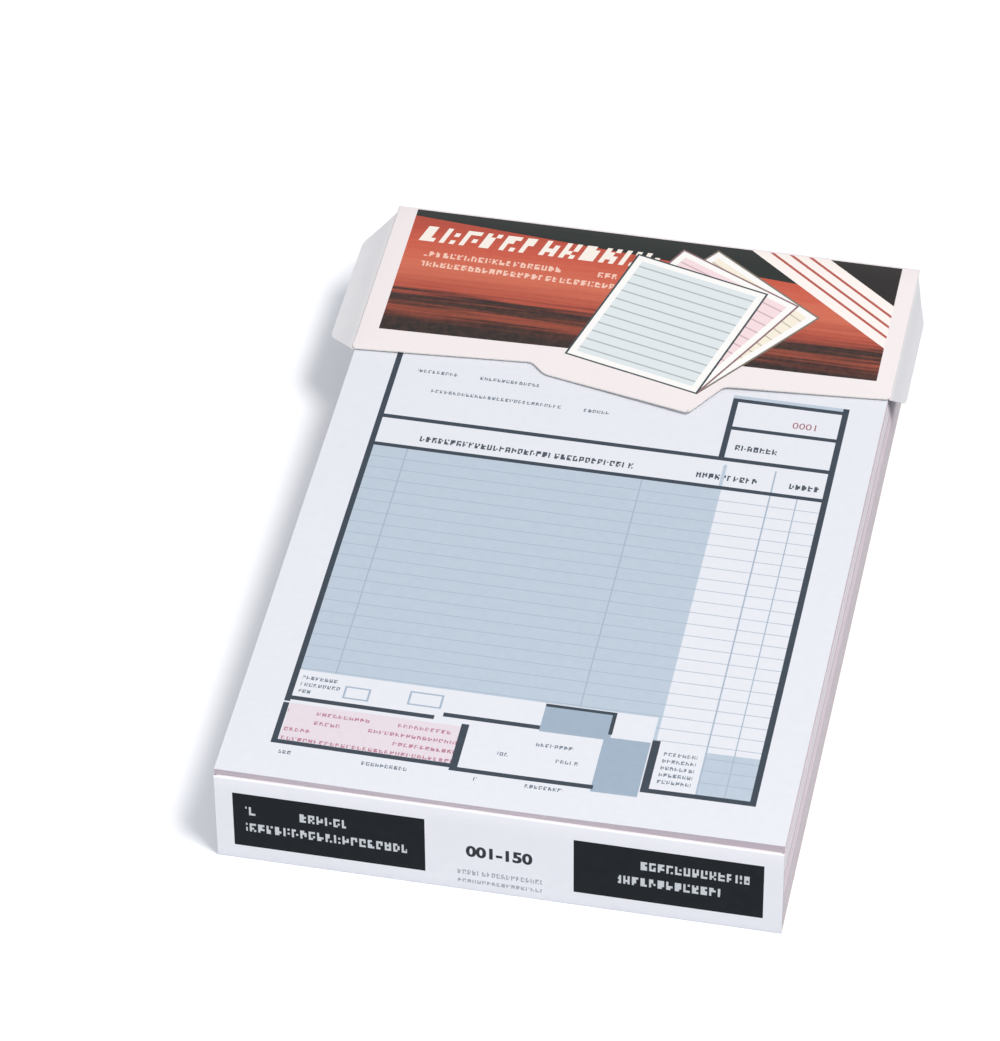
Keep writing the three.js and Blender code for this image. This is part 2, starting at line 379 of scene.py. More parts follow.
# Boxes of the form as ink, left, right, head and foot, in mm from the sheet's left and head edges. A
# later box is printed over an earlier one.
form = [
    ("paper", 12, 130, 24, 82),
    ("type", 18, 60, 28.8, 33.6),
    ("type", 18, 84, 36, 43.2),
    ("type", 18, 50, 62.4, 64.8),
    ("type", 18, 70, 69.6, 72),
    ("tint", 100.5, 130, 57, 59.5),
    ("heading", 104, 112, 64, 66.2),
    ("heading", 104, 115, 76, 78.2),
    ("heading", 12.8, 102, 87.6, 91),
    ("heading", 103, 129, 87.6, 91),
    ("tint", 12.8, 102.6, 93.5, 178),
    ("rows", 103, 129.6, 93.5, 187),
    ("paper", 12.8, 40, 178, 187.5),
    ("type", 14, 24, 180, 187.2),
    ("rule", 25, 31.5, 181.6, 186),
    ("paper", 25.5, 31, 182.1, 185.5),
    ("paper", 41, 52, 179, 187.5),
    ("rule", 41, 49.5, 180.2, 185),
    ("paper", 41.5, 49, 180.7, 184.5),
    ("paper", 53, 75, 183.5, 188),
    ("pink", 13, 55.6, 190, 202.8),
    ("paper", 59, 90, 188, 203.4),
    ("type", 62, 84, 192, 194.4),
    ("type", 66, 88, 196.8, 199.2),
    ("block", 74.5, 92, 179, 188),
    ("block", 90.5, 102, 187, 206),
    ("paper", 104.5, 129.6, 187, 202.6),
    ("type", 105.5, 114, 189.6, 201.6),
    ("tint", 116, 129.6, 188, 202.6),
    ("type", 14, 50, 206.4, 208.8),
    ("type", 62, 84, 206.4, 208.8),
]
for column in (21.7, 82.8):
    form.append(("rule", column - FINE_LINE / 2, column + FINE_LINE / 2, 93.5, 178))
form += [
    ("rule", 115.6, 116, 84, 202.6),
    ("rule", 122.6, 122.9, 93.5, 202.6),
    ("tint", 102.3, 103.2, 84, 187),
]
for left, right, head, foot in [
    (11.3, 12.9, 24, 189.5),
    (129.1, 130.6, 57, 204.1),
    (11.3, 130.6, 24, 25.2),
    (11.3, 130.6, 81.2, 82.6),
    (11.3, 130.6, 92.2, 93.6),
    (100.4, 101.9, 58.2, 82),
    (100.4, 130.6, 58.2, 59.6),
    (101, 130.6, 69.1, 70.4),
    (11.3, 48.5, 187.4, 188.8),
    (50.5, 74.5, 186.0, 187.4),
    (11.3, 12.9, 190, 204.3),
    (11.3, 57.5, 202.9, 204.3),
    (55.6, 57.6, 189, 205.2),
    (57.5, 91, 203.8, 205.2),
    (74.5, 92.2, 178.2, 179.2),
    (91.2, 92.2, 178.4, 186),
    (102.3, 104.3, 186, 204.1),
    (102.3, 130.6, 202.7, 204.1),
]:
    form.append(("line", left, right, head, foot))

# The last ink, edge, is the cut-edge paper darkened with painted shade.
INK_NAMES = ["paper", "line", "tint", "rows", "rule", "block", "pink", "type", "heading", "edge"]


def ink_at(left, head):
    """The number of the ink that the form has at a place, 0 where it is bare."""
    for name, low_left, high_left, low_head, high_head in reversed(form):
        if low_left <= left <= high_left and low_head <= head <= high_head:
            return INK_NAMES.index(name)
    return 0


def pick(piece, wanted):
    """In edit mode, selects the faces whose middle and normal pass the test, and nothing else."""
    bpy.ops.mesh.select_mode(type="FACE")
    bpy.ops.mesh.select_all(action="DESELECT")
    mesh = bmesh.from_edit_mesh(piece.data)
    for face in mesh.faces:
        face.select_set(wanted(face.calc_center_median(), face.normal))
    bmesh.update_edit_mesh(piece.data)


def pick_points(piece, wanted):
    """In edit mode, selects the points whose place passes the test, and nothing else."""
    bpy.ops.mesh.select_mode(type="VERT")
    bpy.ops.mesh.select_all(action="DESELECT")
    mesh = bmesh.from_edit_mesh(piece.data)
    for vertex in mesh.verts:
        vertex.select_set(wanted(vertex.co))
    bmesh.update_edit_mesh(piece.data)


def pick_nearest(piece, place):
    """In edit mode, selects the point nearest to a place, and nothing else."""
    mesh = bmesh.from_edit_mesh(piece.data)
    points = [vertex.co.copy() for vertex in mesh.verts]
    nearest = min(points, key=lambda point: (point - place).length)
    pick_points(piece, lambda point: point == nearest)


def pull(offset, reach):
    """Moves what is selected, and draws what lies within reach smoothly after it."""
    bpy.ops.transform.translate(
        value=offset,
        use_proportional_edit=True,
        proportional_edit_falloff="SMOOTH",
        proportional_size=reach,
    )


def perforate(piece, face_y, outwards):
    """Pulls every other stretch of the perforated edge out as a tie, half way across the slits."""
    low_x, high_x = sheet_left, -sheet_left
    bpy.ops.object.mode_set(mode="EDIT")
    for step in range(1, int((high_x - low_x) / TIE)):
        pick(piece, lambda middle, normal: abs(middle.y - face_y) < EDGE_ZONE)
        bpy.ops.mesh.bisect(plane_co=(low_x + step * TIE, 0, 0), plane_no=(1, 0, 0))
    pick(
        piece,
        lambda middle, normal: abs(middle.y - face_y) < AT_EDGE
        and int((middle.x - low_x) / TIE) % 2 == 0,
    )
    bpy.ops.mesh.extrude_region_move(TRANSFORM_OT_translate={"value": (0, outwards * HALF_SLIT, 0)})
    bpy.ops.object.mode_set(mode="OBJECT")


def model_leaf(low, high):
    """A leaf as it comes off the press: cut along each printed edge, and bent where it was lifted."""
    leaf = start_box("leaf_model", low, high)
    perforate(leaf, high.y, 1)
    bpy.ops.object.mode_set(mode="EDIT")
    # A coarse grid lets the lifted corners bend smoothly.
    cut_all([(x * MM, 0, 0) for x in range(-60, 61, 20)], (1, 0, 0))
    cut_all([(0, y * MM, 0) for y in range(-96, 80, 16)], (0, 1, 0))
    for left in sorted({box[1] for box in form} | {box[2] for box in form}):
        pick(leaf, lambda middle, normal: normal.z > 0.9)
        bpy.ops.mesh.bisect(plane_co=(sheet_x(left), 0, 0), plane_no=(1, 0, 0))
    for head in sorted({box[3] for box in form} | {box[4] for box in form}):
        pick(leaf, lambda middle, normal: normal.z > 0.9)
        bpy.ops.mesh.bisect(plane_co=(0, sheet_y(head), 0), plane_no=(0, 1, 0))
    for corner_x, corner_y, lift, reach in [
        (high.x, low.y, 0.8 * MM, 75 * MM),
        (low.x, low.y, 0.35 * MM, 60 * MM),
        (low.x, low.y + 90 * MM, 0.2 * MM, 45 * MM),
    ]:
        pick_nearest(leaf, Vector((corner_x, corner_y, low.z)))
        pull((0, 0, lift), reach)
    bpy.ops.object.mode_set(mode="OBJECT")
    return leaf


leaf_low, leaf_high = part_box("set_1_white_leaf")
stub_low, stub_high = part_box("set_1_white_stub")
leaf_model = model_leaf(leaf_low, leaf_high)
stub_model = start_box("stub_model", stub_low, stub_high)
perforate(stub_model, stub_low.y, -1)

inks = {"white": form_inks("white", *WHITE), "pink": form_inks("pink", *PINK)}


def leaf_ink(middle, normal):
    """A form's ink on the face of a leaf, bare paper on its back, and cut edges round it in painted
    shade.
    """
    if normal.z > 0.5:
        return ink_at((middle.x - sheet_left) / MM, (sheet_head - middle.y) / MM)
    return 0 if normal.z < -0.5 else INK_NAMES.index("edge")


give(leaf_model, [inks["white"][name] for name in INK_NAMES], leaf_ink)


def copy_of(model, name):
    """A copy with its own mesh."""
    copy = model.copy()
    copy.data = model.data.copy()
    copy.name = name
    bpy.context.scene.collection.objects.link(copy)
    return copy


# Red letterpress ink: matte, and a little uneven where the figures pressed harder.
number_ink, number_place, number_surface = new_material("letterpress_number_red", 0.5, 0.4)
number_patches = add(
    number_ink, "TexNoise", {"Vector": number_place, "Scale": 1 / (0.6 * MM), "Detail": 2}
)
number_colour = over(number_ink, linear("#93525C"), linear("#A5656E"), number_patches)
join(number_ink, number_colour, number_surface)


NUMBER_LEFT, NUMBER_HEAD = 117, 67
# A figure is 0.7 as tall as its text size.
NUMBER_SIZE = 2.4 * MM / 0.7
INK_LIFT = 0.004 * MM
INK_HALF = 0.003 * MM


def flat_figures(name, text, place, turn, ink, **settings):
    """Plain figures, as thin as ink, laid on what they are printed on, with their text settings."""
    deselect()
    bpy.ops.object.text_add(location=place, rotation=(turn, 0, 0))
    figures = bpy.context.object
    figures.data.body = text
    figures.data.extrude = INK_HALF
    for setting, value in settings.items():
        setattr(figures.data, setting, value)
    bpy.ops.object.convert(target="MESH")
    figures = bpy.context.object
    figures.name = name
    bpy.ops.object.transform_apply(location=True, rotation=True, scale=True)
    give(figures, [ink])
    return figures


def number_piece(name, text, surface_z):
    """A set's number in its box on a form that lies at a height."""
    place = (sheet_x(NUMBER_LEFT), sheet_y(NUMBER_HEAD), surface_z + INK_LIFT)
    return flat_figures(name, text, place, 0, number_ink, size=NUMBER_SIZE, resolution_u=3)


LEAVES = 12
for place_in_stack in range(LEAVES):
    set_number = place_in_stack // 2 + 1
    paper = "white" if place_in_stack % 2 == 0 else "pink"
    label = f"set_{set_number}_{paper}"
    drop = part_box(f"{label}_leaf")[1].z - leaf_high.z
    # Each leaf is pressed a little flatter than the one above it.
    flatter = 1 - place_in_stack / (LEAVES + 2)
    leaf = copy_of(leaf_model, f"{label}_form")
    for vertex in leaf.data.vertices:
        flat_z = leaf_high.z if vertex.normal.z > 0 else leaf_low.z
        vertex.co.z = flat_z + (vertex.co.z - flat_z) * flatter + drop
    for slot_number, name in enumerate(INK_NAMES):
        leaf.data.materials[slot_number] = inks[paper][name]
    settle(leaf, label, f"{paper}_paper", f"{label}_leaf")
    stub = copy_of(stub_model, f"{label}_stub_paper")
    stub.data.transform(Matrix.Translation((0, 0, drop)))
    give(stub, [white_paper if paper == "white" else pink_paper])
    settle(stub, "binding", f"{paper}_paper", f"{label}_stub")
    number = number_piece(f"{label}_number", f"{set_number:04d}", leaf_high.z + drop)
    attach(number, label)

# The first unused set has its form too, on the sheet that shows when the loose leaves are turned. It
# is still whole, so its stub belongs to the same sheet.
for model, name in ((leaf_model, "set_7_white_form"), (stub_model, "set_7_white_stub_paper")):
    sheet = copy_of(model, name)
    for vertex in sheet.data.vertices:
        vertex.co.z = first_top - (0 if vertex.normal.z > 0 else SHEET * PRESSED)
        spring_up(vertex, 1)
    if model == stub_model:
        give(sheet, [white_paper])
    settle(sheet, "binding", "block_paper", bundle_nodes[0])

number = number_piece("set_7_white_number", "0007", first_top + lift_full)
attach(number, "binding")

for model in (leaf_model, stub_model):
    bpy.data.objects.remove(model)


# The padding glue. A film of white padding compound brushed over the head edges of all the sheets. It
# dries to a rubbery skin, a little glossy, with the marks of the brush across it.
def padding_glue():
    """A rubbery cream film, a little darker where it pooled between the brush's strokes."""
    material, place, surface = new_material("padding_compound_dried", 0.45, 0.5)
    along = add(material, "Mapping", {0: place, 3: (60, 900, 900)})
    brush = add(material, "TexNoise", {"Vector": along, "Scale": 1, "Detail": 5})
    pools = add(material, "TexNoise", {"Vector": place, "Scale": 1 / (9 * MM), "Detail": 3})
    tinted = over(material, linear("#EFE8D6"), linear("#E2D9C2"), pools)
    join(material, tinted, surface, brush, 0.6, 0.06 * MM)
    return material


dress("head_glue", padding_glue())


# The stitches. Galvanised wire from a book stitching head, cut to length, bent over a former, so its
# crown has rounded shoulders, and driven through the stubs. Two go in from above and two from below.
def stitching_wire():
    """Galvanised steel wire: bright, with the fine lines of the die it was drawn through."""
    material, place, surface = new_material("galvanised_stitching_wire", 0.32, 0.5)
    surface.inputs["Metallic"].default_value = 1
    lines = add(material, "Mapping", {0: place, 3: (300, 9000, 300)})
    drawn = add(material, "TexNoise", {"Vector": lines, "Scale": 1, "Detail": 3})
    dull = add(material, "TexNoise", {"Vector": place, "Scale": 1 / (1.5 * MM), "Detail": 4})
    tinted = over(material, linear("#C9CDD1"), linear("#9EA3A8"), dull)
    join(material, tinted, surface, drawn, 0.3, 0.01 * MM)
    return material


wire_finish = stitching_wire()
WIRE = 0.5 * MM
BEND = 0.7 * MM
BEND_STEPS = 5

for node in ("top_stitch_left", "top_stitch_right", "bottom_stitch_left", "bottom_stitch_right"):
    low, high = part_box(node)
    centre = (low + high) / 2
    wire = start_box(node.replace("stitch", "wire_stitch"), low, (low.x + WIRE, high.y, high.z - BEND))
    bpy.ops.object.mode_set(mode="EDIT")
    pick(wire, lambda middle, normal: normal.z > 0.9)
    crown = (high.x - low.x - 2 * BEND, 0, 0)
    second_leg = (0, 0, low.z - high.z + BEND)
    for bend_x, straight in [(low.x + BEND, crown), (high.x - BEND, second_leg)]:
        bend_centre = (bend_x, centre.y, high.z - BEND)
        bpy.ops.mesh.spin(steps=BEND_STEPS, angle=-math.pi / 2, center=bend_centre, axis=(0, -1, 0))
        bpy.ops.mesh.extrude_region_move(TRANSFORM_OT_translate={"value": straight})
    bpy.ops.mesh.select_mode(type="VERT")
    bpy.ops.mesh.select_all(action="SELECT")
    bpy.ops.mesh.remove_doubles(threshold=0.001 * MM)
    bpy.ops.mesh.normals_make_consistent(inside=False)
    # The cut ends are slanted: the inner side of each leg is the shorter one.
    inner = centre.x - low.x - WIRE / 2
    pick_points(
        wire, lambda point: point.z < low.z + 0.1 * MM and abs(point.x - centre.x) < inner
    )
    bpy.ops.transform.translate(value=(0, 0, WIRE))
    if node.startswith("bottom"):
        bpy.ops.mesh.select_all(action="SELECT")
        bpy.ops.transform.rotate(value=math.pi, orient_axis="X", center_override=centre)
    bpy.ops.object.mode_set(mode="OBJECT")
    softened = wire.modifiers.new("softened", "BEVEL")
    softened.width = 0.1 * MM
    softened.segments = 2
    softened.limit_method = "ANGLE"
    softened.angle_limit = math.radians(50)
    bpy.ops.object.modifier_apply(modifier="softened")
    bpy.ops.object.shade_smooth_by_angle(angle=math.radians(35))
    give(wire, [wire_finish])
    settle(wire, "binding", "stitch_wire", node)


# The cover's back, spine and tuck flap. One sheet of folding card, coated white outside and bare inside,
# creased and folded round the block. The folds have rounded backs.
CARD_WHITE = ("#F3F2F4", "#EAE9EC")


def coated_card():
    """The card's white coated side: smooth, a little glossy, with faint scuffs from handling."""
    material, place, surface = new_material("coated_cover_card", 0.42, 0.4)
    scuff_settings = {"Vector": place, "Scale": 1 / (11 * MM), "Detail": 7, "Roughness": 0.7}
    scuffs = add(material, "TexNoise", scuff_settings)
    skin = add(material, "TexNoise", {"Vector": place, "Scale": 1 / (0.9 * MM), "Detail": 3})
    tinted = over(material, linear(CARD_WHITE[0]), linear(CARD_WHITE[1]), scuffs)
    rough = add(material, "MapRange", {0: scuffs, 1: 0.35, 2: 0.65, 3: 0.36, 4: 0.52})
    material.node_tree.links.new(rough.outputs[0], surface.inputs["Roughness"])
    join(material, tinted, surface, skin, 0.15, 0.012 * MM)
    return material


def bare_card():
    """The card's uncoated side and cut edges: matte and a little grey, with short fibres."""
    material, place, surface = new_material("uncoated_card_fibres", 0.9, 0.2)
    fibres = add(material, "TexNoise", {"Vector": place, "Scale": 1 / (0.4 * MM), "Detail": 5})
    clouds = add(material, "TexNoise", {"Vector": place, "Scale": 1 / (8 * MM), "Detail": 3})
    tinted = over(material, linear("#E6E2DE"), linear("#DBD6D0"), clouds)
    join(material, tinted, surface, fibres, 0.4, 0.02 * MM)
    return material


def soften(piece, chosen, radius, steps=4):
    """Rounds the edges whose middle and direction pass the test."""
    bpy.ops.object.mode_set(mode="EDIT")
    bpy.ops.mesh.select_mode(type="EDGE")
    bpy.ops.mesh.select_all(action="DESELECT")
    mesh = bmesh.from_edit_mesh(piece.data)
    for edge in mesh.edges:
        start, end = (vertex.co for vertex in edge.verts)
        if chosen((start + end) / 2, (end - start).normalized()):
            edge.select_set(True)
    bmesh.update_edit_mesh(piece.data)
    bpy.ops.mesh.bevel(offset=radius, segments=steps, affect="EDGES")
    bpy.ops.object.mode_set(mode="OBJECT")


def cut_off(point, normal):
    """In edit mode, cuts off what lies beyond a plane, and closes the cut."""
    bpy.ops.mesh.select_all(action="SELECT")
    bpy.ops.mesh.bisect(plane_co=point, plane_no=normal, clear_outer=True, use_fill=True)


def finish_card(piece, outside):
    """Gives a panel its coated side where the test on a normal says so, and bare card elsewhere."""
    bpy.ops.object.shade_smooth_by_angle(angle=math.radians(40))
    give(piece, [card_outside, card_inside], lambda middle, normal: 0 if outside(normal) else 1)


card_outside = coated_card()
card_inside = bare_card()
FOLD = 0.32 * MM
NEAR = 0.02 * MM
TUCK_CORNER = 8 * MM

low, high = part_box("cover_back_panel")
back = start_box("card_back", low, high)
soften(back, lambda middle, way: abs(way.x) > 0.9 and middle.z < low.z + NEAR, FOLD)
finish_card(back, lambda normal: normal.z < 0.1)
settle(back, "binding", "cover_card", "cover_back_panel")

low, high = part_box("cover_spine_panel")
spine = start_box("card_spine", low, high)
soften(spine, lambda middle, way: abs(way.x) > 0.9 and middle.y > high.y - NEAR, FOLD)
finish_card(spine, lambda normal: normal.y > -0.1)
settle(spine, "binding", "cover_card", "cover_spine_panel")

tuck = start_box("card_tuck_flap", tuck_low, tuck_high)
bpy.ops.object.mode_set(mode="EDIT")
for side in (-1, 1):
    corner = (side * (tuck_high.x - TUCK_CORNER), tuck_high.y, tuck_low.z)
    cut_off(corner, (side, 1, 0))
bpy.ops.object.mode_set(mode="OBJECT")
soften(tuck, lambda middle, way: abs(way.z) > 0.9 and middle.y > tuck_low.y + NEAR, 2 * MM, 5)
soften(
    tuck,
    lambda middle, way: abs(way.x) > 0.9
    and middle.y < tuck_low.y + NEAR
    and middle.z > tuck_high.z - NEAR,
    FOLD / 2,
)
finish_card(tuck, lambda normal: normal.z > 0.1)
settle(tuck, "tuck", "cover_card", "tuck_flap")


# The foot panel. The part of the cover card that closes the block's foot end and tells what the book
# holds when it stands on a shelf: two black panels with white marks, and between them the numbers of
# its sets over small grey marks.
def shelf_print(name, specular, ground, clouded, ink, letter, line, rows):
    """Print on the foot panel: a ground, with rows of marks of no letters in one ink. A row is its
    left and right end, and its middle down from the panel's top, in mm."""
    material, place, surface = new_material(name, 0.42, specular)
    left, down = print_place(material, place, foot_high.z, "Z")
    cloud = add(material, "TexNoise", {"Vector": place, "Scale": 1 / (3 * MM), "Detail": 5})
    colour = over(material, linear(ground), linear(clouded), cloud)
    lowered = add(material, "Math", {0: down, 1: 2.2}, operation="ADD")
    marks = strokes(material, left, lowered, letter, line, tall=0.5, gaps=0.12)
    for row_left, row_right, row_down in rows:
        row_box = (row_left, row_right, row_down - line / 3, row_down + line / 3)
        shown = all_of(material, marks, inside(material, left, down, row_box))
        colour = over(material, colour, linear(ink), shown)
    join(material, colour, surface, cloud, 0.1, 0.01 * MM)
    return material


foot_low, foot_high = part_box("foot_panel")
foot = start_box("card_foot_panel", foot_low, foot_high)
panels = [(4.4, 52.0), (88.6, 135.0)]
PANEL_FOOT = 4.6 * MM
PANEL_HEAD = 22.5 * MM
TYPE_FOOT = 2.6 * MM
TYPE_HEAD = 8.9 * MM
bpy.ops.object.mode_set(mode="EDIT")
cut_all([(sheet_x(edge), 0, 0) for pair in panels for edge in pair], (1, 0, 0))
cut_all([(0, 0, edge) for edge in (PANEL_FOOT, PANEL_HEAD, TYPE_FOOT, TYPE_HEAD)], (0, 0, 1))
bpy.ops.object.mode_set(mode="OBJECT")
soften(
    foot,
    lambda middle, way: abs(way.x) > 0.9
    and middle.y < foot_low.y + NEAR
    and not foot_low.z + NEAR < middle.z < foot_high.z - NEAR,
    FOLD,
)
bpy.ops.object.shade_smooth_by_angle(angle=math.radians(40))
shelf_ink = shelf_print(
    "coated_card_black_ink",
    specular=0.2,
    ground="#0F1215",
    clouded="#191D21",
    ink="#CDD1D3",
    letter=2.1,
    line=5.6,
    rows=[(7.5, 32.5, 10.7), (7.5, 47.5, 16.3), (91.5, 131.5, 10.7), (99.5, 124.5, 16.3)],
)
shelf_type = shelf_print(
    "coated_card_small_grey_type",
    specular=0.4,
    ground=CARD_WHITE[0],
    clouded=CARD_WHITE[1],
    ink="#A9ACB1",
    letter=1.2,
    line=3.2,
    rows=[(59.8, 80.8, 21), (59.8, 80.8, 24.2)],
)


def shelf_face(middle, normal):
    """Black inside the two panels of the outer face, small type between them, coated over the rest
    of it, and bare behind."""
    across = (middle.x - sheet_left) / MM
    within = any(start < across < end for start, end in panels)
    if normal.y < -0.9 and within and PANEL_FOOT < middle.z < PANEL_HEAD:
        return 1
    if normal.y < -0.9 and panels[0][1] < across < panels[1][0] and TYPE_FOOT < middle.z < TYPE_HEAD:
        return 3
    return 0 if normal.y < 0.1 or normal.z > 0.9 else 2


give(foot, [card_outside, shelf_ink, card_inside, shelf_type], shelf_face)
settle(foot, "foot", "cover_card", "foot_panel")

# Black offset ink: a little paler where it lies thin on the card's coating.
figure_ink, figure_place, figure_surface = new_material("black_ink_figures", 0.45, 0.4)
figure_cloud = add(
    figure_ink, "TexNoise", {"Vector": figure_place, "Scale": 1 / (1.1 * MM), "Detail": 3}
)
figure_colour = over(figure_ink, linear("#1B1E22"), linear("#2A2E33"), figure_cloud)
join(figure_ink, figure_colour, figure_surface)
shelf_number = flat_figures(
    "foot_panel_number",
    "001-150",
    (sheet_x(70.3), foot_low.y - INK_LIFT, 13.4 * MM),
    math.pi / 2,
    figure_ink,
    size=4.9 * MM,
    offset=0.2 * MM,
    resolution_u=4,
    align_x="CENTER",
    align_y="CENTER",
)
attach(shelf_number, "foot")


# The header flap. The part of the cover card that closes over the stubs, coated, printed in four
# colours with a varnish over it, and die-cut along its free edge with a step and a tongue.
def red_ground(material, left, down, streaks, mottle):
    """The print's ground: red that darkens to black downwards in soft streaks, with pale specks."""
    wobble = add(material, "MapRange", {0: streaks, 1: 0.3, 2: 0.7, 3: -2.5, 4: 2.5})
    moved = add(material, "Math", {0: down, 1: wobble}, operation="ADD")
    share = add(material, "Math", {0: moved, 1: 52}, operation="DIVIDE")
    ground = add(material, "ValToRGB", {0: share})
    stops = [
        (0.0, "#A33A2B"),
        (0.24, "#C5533E"),
        (0.44, "#CE6A50"),
        (0.6, "#AE4B38"),
        (0.67, "#180B09"),
        (0.72, "#33170F"),
        (0.77, "#93422E"),
        (0.82, "#43190F"),
        (0.88, "#0D0605"),
        (1.0, "#0A0504"),
    ]
    ramp = ground.color_ramp
    while len(ramp.elements) < len(stops):
        ramp.elements.new(0.5)
    for element, (position, colour) in zip(ramp.elements, stops):
        element.position = position
        element.color = linear(colour)
    speckled = add(material, "MapRange", {0: mottle, 1: 0.35, 2: 0.75, 3: 0, 4: 0.05})
    return over(material, ground, linear("#E9947A"), speckled)


def head_marks(material, colour, left, down):
    """A title and two small lines under it, in marks of no letters."""
    slanted = add(material, "Math", {0: down, 1: 0.28, 2: left}, operation="MULTIPLY_ADD")
    title_down = add(material, "Math", {0: down, 1: 6.1}, operation="SUBTRACT")
    title = strokes(material, slanted, title_down, letter=5.4, line=9.2, tall=0.68, gaps=0.1)
    title_box = inside(material, left, down, (7, 72, 5.9, 12.9))
    colour = over(material, colour, linear("#F6EFE6"), all_of(material, title, title_box))
    small = strokes(material, left, down, letter=1.9, line=4.1, tall=0.5, gaps=0.2)
    small_box = inside(material, left, down, (10, 62, 16.3, 24.5))
    return over(material, colour, linear("#F2C6B4"), all_of(material, small, small_box))


def corner_stripes(material, colour, left, down):
    """Three red stripes on white across the head's right corner, and a black corner beyond them."""
    across = add(material, "Math", {0: left, 1: -0.814, 2: 77.9}, operation="MULTIPLY_ADD")
    slope = add(material, "Math", {0: down, 1: across}, operation="ADD")
    for middle, half, tint in [
        (-8.6, 8.6, "#FBF2EE"),
        (-4.4, 0.5, "#B4574A"),
        (-8.6, 0.5, "#B4574A"),
        (-12.8, 0.5, "#B4574A"),
    ]:
        stripe = add(material, "Math", {0: slope, 1: middle, 2: half}, operation="COMPARE")
        colour = over(material, colour, linear(tint), stripe)
    corner = add(material, "Math", {0: slope, 1: -17.2}, operation="LESS_THAN")
    return over(material, colour, linear("#120D0C"), corner)


def printed_slips(material, colour, flat_place):
    """A fan of three plain ruled slips, turned about their lower right corners."""
    corner_left, corner_down, wide, tall = 91.0, 60.2, 38.0, 45.0
    for turn, paper, keyline in [
        (36, "#F4ECDA", "#7A7166"),
        (27, "#F3DBDF", "#8A686E"),
        (15, "#DEE6E9", "#39454B"),
    ]:
        turning = {
            "Vector": flat_place,
            "Center": (corner_left, corner_down, 0),
            "Angle": -math.radians(turn),
        }
        turned = add(material, "VectorRotate", turning, rotation_type="Z_AXIS")
        split = add(material, "SeparateXYZ", {0: turned})
        left, down = split.outputs["X"], split.outputs["Y"]
        for inset, tint in [(0, keyline), (0.55, "#F8F8F6"), (2.4, paper)]:
            box = (
                corner_left - wide + inset,
                corner_left - inset,
                corner_down - tall + inset,
                corner_down - inset,
            )
            slip = inside(material, left, down, box)
            colour = over(material, colour, linear(tint), slip)
        _, part, _ = cells(material, down, 3.6)
        ruled = add(material, "Math", {0: part, 1: 0.5, 2: 0.07}, operation="COMPARE")
        ruling = all_of(material, ruled, slip)
        pale = add(material, "Math", {0: ruling, 1: 0.45}, operation="MULTIPLY")
        colour = over(material, colour, linear(keyline), pale)
    return colour


def header_print():
    """Varnished print: a dark band with marks over a red ground that darkens, stripes across one
    corner, a white border and a fan of slips."""
    material, place, surface = new_material("coated_card_four_colour_print", 0.34, 0.25)
    surface.inputs["Coat Weight"].default_value = 0.1
    surface.inputs["Coat Roughness"].default_value = 0.22
    left, down = print_place(material, place)
    flat_place = add(material, "CombineXYZ", {0: left, 1: down})
    # The streaks run across the card, about 45 mm long and 1.3 mm high.
    drawn_out = add(material, "Mapping", {0: flat_place, 3: (0.022, 0.75, 1)})
    streaks = add(material, "TexNoise", {"Vector": drawn_out, "Scale": 1, "Detail": 4})
    mottle = add(material, "TexNoise", {"Vector": place, "Scale": 1 / (1.6 * MM), "Detail": 5})
    colour = red_ground(material, left, down, streaks, mottle)

    band_foot = add(material, "Math", {0: left, 1: 0.085, 2: 2.0}, operation="MULTIPLY_ADD")
    band = add(material, "Math", {0: down, 1: band_foot}, operation="LESS_THAN")
    band_tint = over(material, linear("#070908"), linear("#12201A"), streaks)
    colour = over(material, colour, band_tint, band)
    colour = head_marks(material, colour, left, down)
    colour = corner_stripes(material, colour, left, down)

    foot_line = add(material, "Math", {0: left, 1: -0.0297, 2: 49.8}, operation="MULTIPLY_ADD")
    above_foot = add(material, "Math", {0: down, 1: foot_line}, operation="LESS_THAN")
    below_head = add(material, "Math", {0: down, 1: -0.2}, operation="GREATER_THAN")
    between_sides = add(material, "Math", {0: left, 1: 70.2, 2: 65.6}, operation="COMPARE")
    picture = all_of(material, above_foot, below_head, between_sides)
    colour = over(material, linear("#F1E9EA"), colour, picture)
    colour = printed_slips(material, colour, flat_place)
    join(material, colour, surface, mottle, 0.08, 0.01 * MM)
    return material


header_low, header_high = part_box("header_flap")
# The free edge's corners, in mm from the sheet's left and head edges. The fourth is the tongue's tip.
flap_edge = [(-0.7, 58.5), (46.5, 55), (50.5, 59), (90, 67.5), (97.5, 55.5), (140.4, 52)]
CORNER = 1.2 * MM
TONGUE_LIFT = 0.45 * MM
TONGUE_REACH = 44 * MM

deselect()
middle_of_flap = (header_low + header_high) / 2
bpy.ops.mesh.primitive_plane_add(size=1, location=(middle_of_flap.x, middle_of_flap.y, header_high.z))
header = bpy.context.object
header.name = "card_header_flap"
header.scale = (header_high.x - header_low.x, header_high.y - header_low.y, 1)
bpy.ops.object.transform_apply(location=True, rotation=True, scale=True)
bpy.ops.object.mode_set(mode="EDIT")
cut_all([(sheet_x(left), 0, 0) for left, _ in flap_edge[1:-1]], (1, 0, 0))
for left, depth in flap_edge:
    pick_nearest(header, Vector((sheet_x(left), header_low.y, header_high.z)))
    bpy.ops.transform.translate(value=(0, sheet_y(depth) - header_low.y, 0))
pick_points(header, lambda point: point.y < header_high.y - 1 * MM)
bpy.ops.mesh.bevel(offset=CORNER, segments=5, affect="VERTICES")
bpy.ops.mesh.select_all(action="SELECT")
bpy.ops.mesh.dissolve_limited(angle_limit=math.radians(0.5))
cut_all([(x * MM, 0, 0) for x in range(-63, 64, 9)], (1, 0, 0))
cut_all([(0, sheet_y(depth), 0) for depth in range(6, 66, 6)], (0, 1, 0))
tip_left, tip_depth = flap_edge[3]
